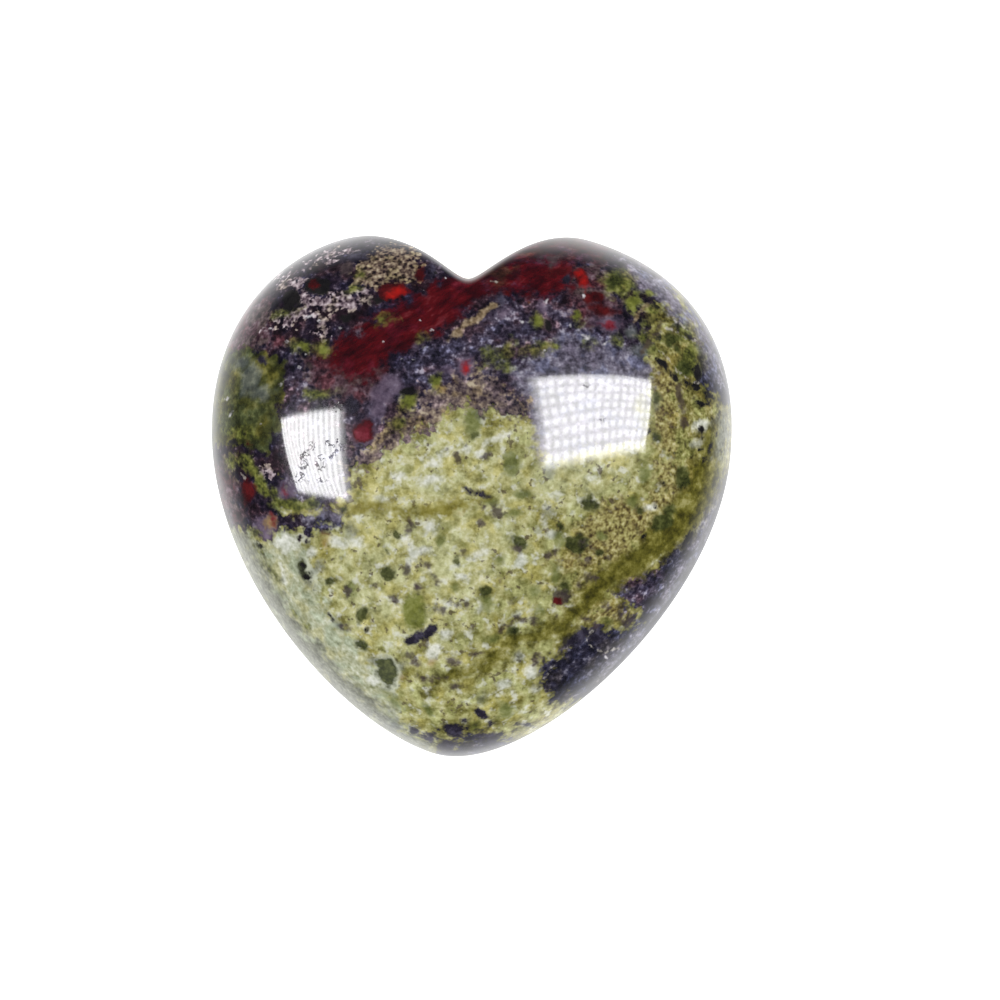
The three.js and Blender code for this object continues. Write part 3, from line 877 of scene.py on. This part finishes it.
class Jasper(Finish):
    """The polished stone: its grain, and the minerals laid over each other."""

    def __init__(self, owner):
        super().__init__(owner)
        metres = self.node("TexCoord", output=3)
        self.place = self.node("VectorMath", {"operation": "SCALE"}, {0: metres, "Scale": 1 / MM})
        self.cloud = self.grain(0.4, 2, 0.6, 1.0)
        self.mottle = self.grain(1.0, 3, 0.64, 2.0)
        self.sand = self.grain(2.8, 1, 0.6, 3.0)
        self.salt = self.mottle * 0.75 + self.sand * 0.75 - 0.25
        self.crumbs = self.mottle * 0.85 + self.sand * 0.4 - 0.125
        self.tint = self.grain(0.6, 2, 0.6, 4.0)
        self.crumble = self.grain(1.2, 2, 0.6, 5.0)
        streaks = self.grain(1.4, 3, 0.7, 7.0, self.along(-52, 2.4, 7.0))
        self.flakes = streaks * 0.45 + self.mottle * 0.3 + self.sand * 0.7 - 0.225
        self.strands = self.grain(1.3, 3, 0.7, 8.0, self.along(33, 2.6, 8.0))
        cells = self.node("TexVoronoi", {}, {"Vector": self.along(0, 1.0, 10.0), "Scale": 2.8})
        self.net = cells * 0.75 + self.sand * 0.9 - 0.32

    def along(self, turn, stretch, seed):
        """Places squeezed along a level direction, so that a grain drawn there runs in streaks."""
        return self.node(
            "Mapping",
            {"vector_type": "TEXTURE"},
            {
                "Vector": self.place,
                "Location": (seed * 17.0, 0.0, 0.0),
                "Rotation": (0.0, 0.0, math.radians(turn)),
                "Scale": (stretch, 1.0, 1.0),
            },
        )

    def grain(self, scale, detail, roughness, seed, place=None):
        """Cloudy grain about 0.5, of an even spread. Scale is how many lie in a millimetre."""
        octaves = [roughness**i for i in range(detail + 1)]
        stretch = GRAIN_SPREAD / (OCTAVE_SPREAD * math.hypot(*octaves) / sum(octaves))
        noise = self.node(
            "TexNoise",
            {},
            {
                "Vector": place or self.along(0, 1.0, seed),
                "Scale": scale, "Detail": detail, "Roughness": roughness,
            },
        )
        even = {0: noise, 1: stretch, 2: 0.5 - 0.5 * stretch}
        return self.node("Math", {"operation": "MULTIPLY_ADD"}, even)

    def shaded(self, grain, shades):
        """Colours from dark to pale as a grain rises."""
        positions = np.linspace(0.5 - SHADE_REACH, 0.5 + SHADE_REACH, len(shades))
        stops = [(position, colour(*shade)) for position, shade in zip(positions, shades)]
        return self.node("ValToRGB", {"stops": stops}, {0: grain})

    def leaning(self, stone, cool, warm):
        """Turns parts of a colour to a cool hue and others to a warm one."""
        for hue, (start, end) in ((cool, COOL_RISE), (warm, WARM_RISE)):
            if hue:
                share = self.rise(self.tint, start, end) * LEAN
                stone = self.mix(share, stone, colour(*hue), "COLOR")
        return stone

    def inside(self, mineral, ragged, crumbly, soft, spread=0.0):
        """1 inside a mineral's marks and 0 outside, with an edge that strays by millimetres."""
        level = self.node("Attribute", {"attribute_name": mineral}, output=2) + spread
        level = level + (self.crumble - 0.5) * (ragged / GRAIN_SPREAD)
        level = level + (self.sand - 0.5) * (crumbly / GRAIN_SPREAD)
        return self.rise(level, -soft, soft)

    def laid(self, stone, layers):
        """The stone's colour with more minerals over it."""
        for layer in layers:
            body = self.shaded(getattr(self, layer.grain), layer.shades)
            body = self.leaning(body, layer.cool, layer.warm)
            edge = (layer.ragged, layer.crumbly, layer.soft, layer.spread)
            cover = self.inside(layer.mineral, *edge)
            stone = self.mix(cover * layer.share, stone, body)
        return stone

    def flecked(self, stone):
        """The mass's pale and green flecks."""
        pale = self.rise(self.grain(1.2, 2, 0.6, 11.0), 0.58, 0.98)
        stone = self.mix(pale * 0.7, stone, colour(220, 222, 210))
        green = self.rise(self.grain(1.0, 2, 0.6, 12.0), 0.60, 0.96)
        return self.mix(green * 0.5, stone, colour(110, 112, 50))

    def peppered(self, stone):
        """Brown specks on the mass, which crowd among tan ones where it is peppered."""
        crowd = self.inside("peppered", 0.3, 0.1, 0.6)
        specks = self.grain(1.8, 2, 0.5, 13.0)
        brown = self.rise(specks + (self.cloud - 0.5) * 0.4, 0.72, 0.96)
        stone = self.mix(brown * 0.8, stone, colour(80, 68, 54))
        return self.mix(crowd * 0.65, stone, self.shaded(self.net, PEPPER_SHADES))

    def stone_colour(self):
        """The mass, its flecks, and the minerals over it."""
        mass = self.leaning(self.shaded(self.crumbs, MASS_SHADES), MASS_COOL, MASS_WARM)
        mass = self.flecked(self.laid(mass, GROUND[:1]))
        return self.laid(self.peppered(self.laid(mass, GROUND[1:])), LAYERS)


def jasper_finish():
    """Polished dragon blood jasper."""
    jasper = Jasper(bpy.data.materials.new("polished_jasper"))
    curls = jasper.rise(abs(jasper.sand - 0.5), 0.09, 0.04)
    pits = jasper.inside("pitted", 0.1, 0.05, 0.1) * curls
    waves = jasper.grain(0.12, 1, 0.5, 9.0)
    height = waves * WAVE_HEIGHT + jasper.sand * SAND_HEIGHT - pits * PIT_DEPTH
    bump = jasper.node("Bump", {}, {"Strength": 1.0, "Distance": MM, "Height": height})
    shader = jasper.node(
        "BsdfPrincipled",
        {},
        {
            "Base Color": jasper.stone_colour(),
            "Roughness": 0.04 + jasper.sand * 0.02 + pits * 0.5,
            "IOR": 1.58,
            "Coat Weight": 0.2,
            "Coat Roughness": 0.2,
            "Normal": bump,
        },
    )
    jasper.node("OutputMaterial", {}, {"Surface": shader})
    return jasper.owner


def pale_floor():
    """A plain pale floor, which isn't part of the object. It glows like a light table; to mirrored rays
    it fades outwards, with painted shade towards the stone.
    """
    far = FLOOR_HALF
    corners = [(-far, -far, 0), (far, -far, 0), (far, far, 0), (-far, far, 0)]
    mesh = bpy.data.meshes.new("pale_floor")
    mesh.from_pydata(corners, [], [(0, 1, 2, 3)])
    floor = placed("pale_floor", mesh)
    finish = Finish(bpy.data.materials.new("pale_floor"))
    sheet = finish.node(
        "BsdfPrincipled",
        {},
        {
            "Base Color": (0.85, 0.85, 0.85, 1.0),
            "Roughness": 0.9,
            "Specular IOR Level": 0.0,
            "Emission Color": (1.0, 1.0, 1.0, 1.0),
            "Emission Strength": FLOOR_GLOW,
        },
    )
    beyond = finish.node("Emission", {}, {"Color": ROOM_TINT, "Strength": ROOM_LEVEL})
    place = finish.node("TexCoord", output=3)
    middle = (*(reach * MM for reach in SHEET_MIDDLE), 0.0)
    out = finish.node("VectorMath", {"operation": "DISTANCE"}, {0: place, 1: middle}, output=1) / MM
    past = finish.rise(1 / out, *(1 / reach for reach in SHEET_FADE))
    near = finish.node("VectorMath", {"operation": "LENGTH"}, {0: place}, output=1) / MM
    # Painted shade: the sheet is darker towards the stone, as the polish mirrors it
    under = finish.rise(near, *SHEET_SHADE) * SHEET_SHADE_DEPTH
    mirrored_ray = finish.node("LightPath", output=3)
    dimmed = (past + under) * mirrored_ray
    shader = finish.node("MixShader", {}, {0: dimmed, 1: sheet, 2: beyond})
    finish.node("OutputMaterial", {}, {"Surface": shader})
    mesh.materials.append(finish.owner)


def look_down_camera():
    """The photograph's camera, straight above the stone."""
    camera = placed("camera", bpy.data.cameras.new("camera"))
    across = PIXEL * PHOTO_MIDDLE * 2
    camera.data.sensor_width = SENSOR
    camera.data.lens = SENSOR * CAMERA_DISTANCE / across
    camera.location = CAMERA * MM
    bpy.context.scene.camera = camera


def studio_room():
    """Soft white light from all round. The polish mirrors a room dimmer than the light in it."""
    world = bpy.data.worlds.new("studio")
    bpy.context.scene.world = world
    world.cycles.sampling_method = "NONE"
    room = Finish(world)
    bright = room.node("Background", {}, {"Color": (1.0, 1.0, 1.0, 1.0), "Strength": 1.0})
    dim = room.node("Background", {}, {"Color": ROOM_TINT, "Strength": ROOM_LEVEL})
    mirrored_ray = room.node("LightPath", output=3)
    both = room.node("MixShader", {}, {0: mirrored_ray, 1: bright, 2: dim})
    room.node("OutputWorld", {}, {"Surface": both})


def mirrored(points, pixel):
    """Where the polish at a pixel mirrors the camera to, at the softboxes' distance."""
    front = points[1 : 1 + FRONT_ROWS * POINTS_ROUND].reshape(FRONT_ROWS, POINTS_ROUND, 3)
    seen = photo_place(front.reshape(-1, 3)).reshape(FRONT_ROWS, POINTS_ROUND, 2)
    row, i = np.unravel_index(np.hypot(*np.moveaxis(seen - pixel, 2, 0)).argmin(), seen.shape[:2])
    outward = front[row + SLOPE_ROWS, i] - front[row - SLOPE_ROWS, i]
    round_ring = front[row, (i + SLOPE_POINTS) % POINTS_ROUND] - front[row, i - SLOPE_POINTS]
    facing = np.cross(outward, round_ring)
    facing /= np.linalg.norm(facing)
    look = front[row, i] - CAMERA
    look /= np.linalg.norm(look)
    away = look - 2 * (look @ facing) * facing
    return front[row, i] + away * SOFTBOX_DISTANCE


def softbox(name, points, reflection, glow, grille, haze):
    """A lamp behind a grille, which only the polish mirrors. Its haze is in shares of its size."""
    corners = [mirrored(points, np.array(pixel)) * MM for pixel in reflection]
    mesh = bpy.data.meshes.new(name)
    mesh.from_pydata([tuple(corner) for corner in corners], [], [(0, 1, 2, 3)])
    layout = mesh.uv_layers.new(name="across")
    for loop, place in zip(layout.data, [(0, 1), (1, 1), (1, 0), (0, 0)]):
        loop.uv = place
    card = placed(name, mesh)
    card.visible_camera = card.visible_diffuse = card.visible_shadow = False
    card.visible_transmission = False
    lamp = Finish(bpy.data.materials.new(name))
    place = lamp.node("UVMap", {"uv_map": "across"})
    across = lamp.node("SeparateXYZ", {}, {0: place}, output=0)
    up = lamp.node("SeparateXYZ", {}, {0: place}, output=1)
    columns, rows, wire_shade = grille
    between = lamp.wave(across * columns) * lamp.wave(up * rows + 0.5)
    left, right, top, bottom = haze
    edge = lamp.rise(across, 0.0, left) * lamp.rise(1 - across, 0.0, right)
    edge = edge * lamp.rise(1 - up, 0.0, top) * lamp.rise(up, 0.0, bottom)
    share = edge * (between * wire_shade + (1 - wire_shade))
    dark = lamp.node("Emission", {}, {"Strength": 0.0})
    light = lamp.node("Emission", {}, {"Strength": glow})
    shader = lamp.node("MixShader", {}, {0: share, 1: dark, 2: light})
    lamp.node("OutputMaterial", {}, {"Surface": shader})
    mesh.materials.append(lamp.owner)


bpy.context.scene.view_settings.view_transform = "Standard"
look_down_camera()
studio_room()
pale_floor()
surface = heart_points()
softbox("left_softbox", surface, LEFT_REFLECTION, LEFT_GLOW, LEFT_GRILLE, LEFT_HAZE)
softbox("right_softbox", surface, RIGHT_REFLECTION, RIGHT_GLOW, RIGHT_GRILLE, RIGHT_HAZE)
stone = polished_heart(surface)
stone.data.materials.append(jasper_finish())
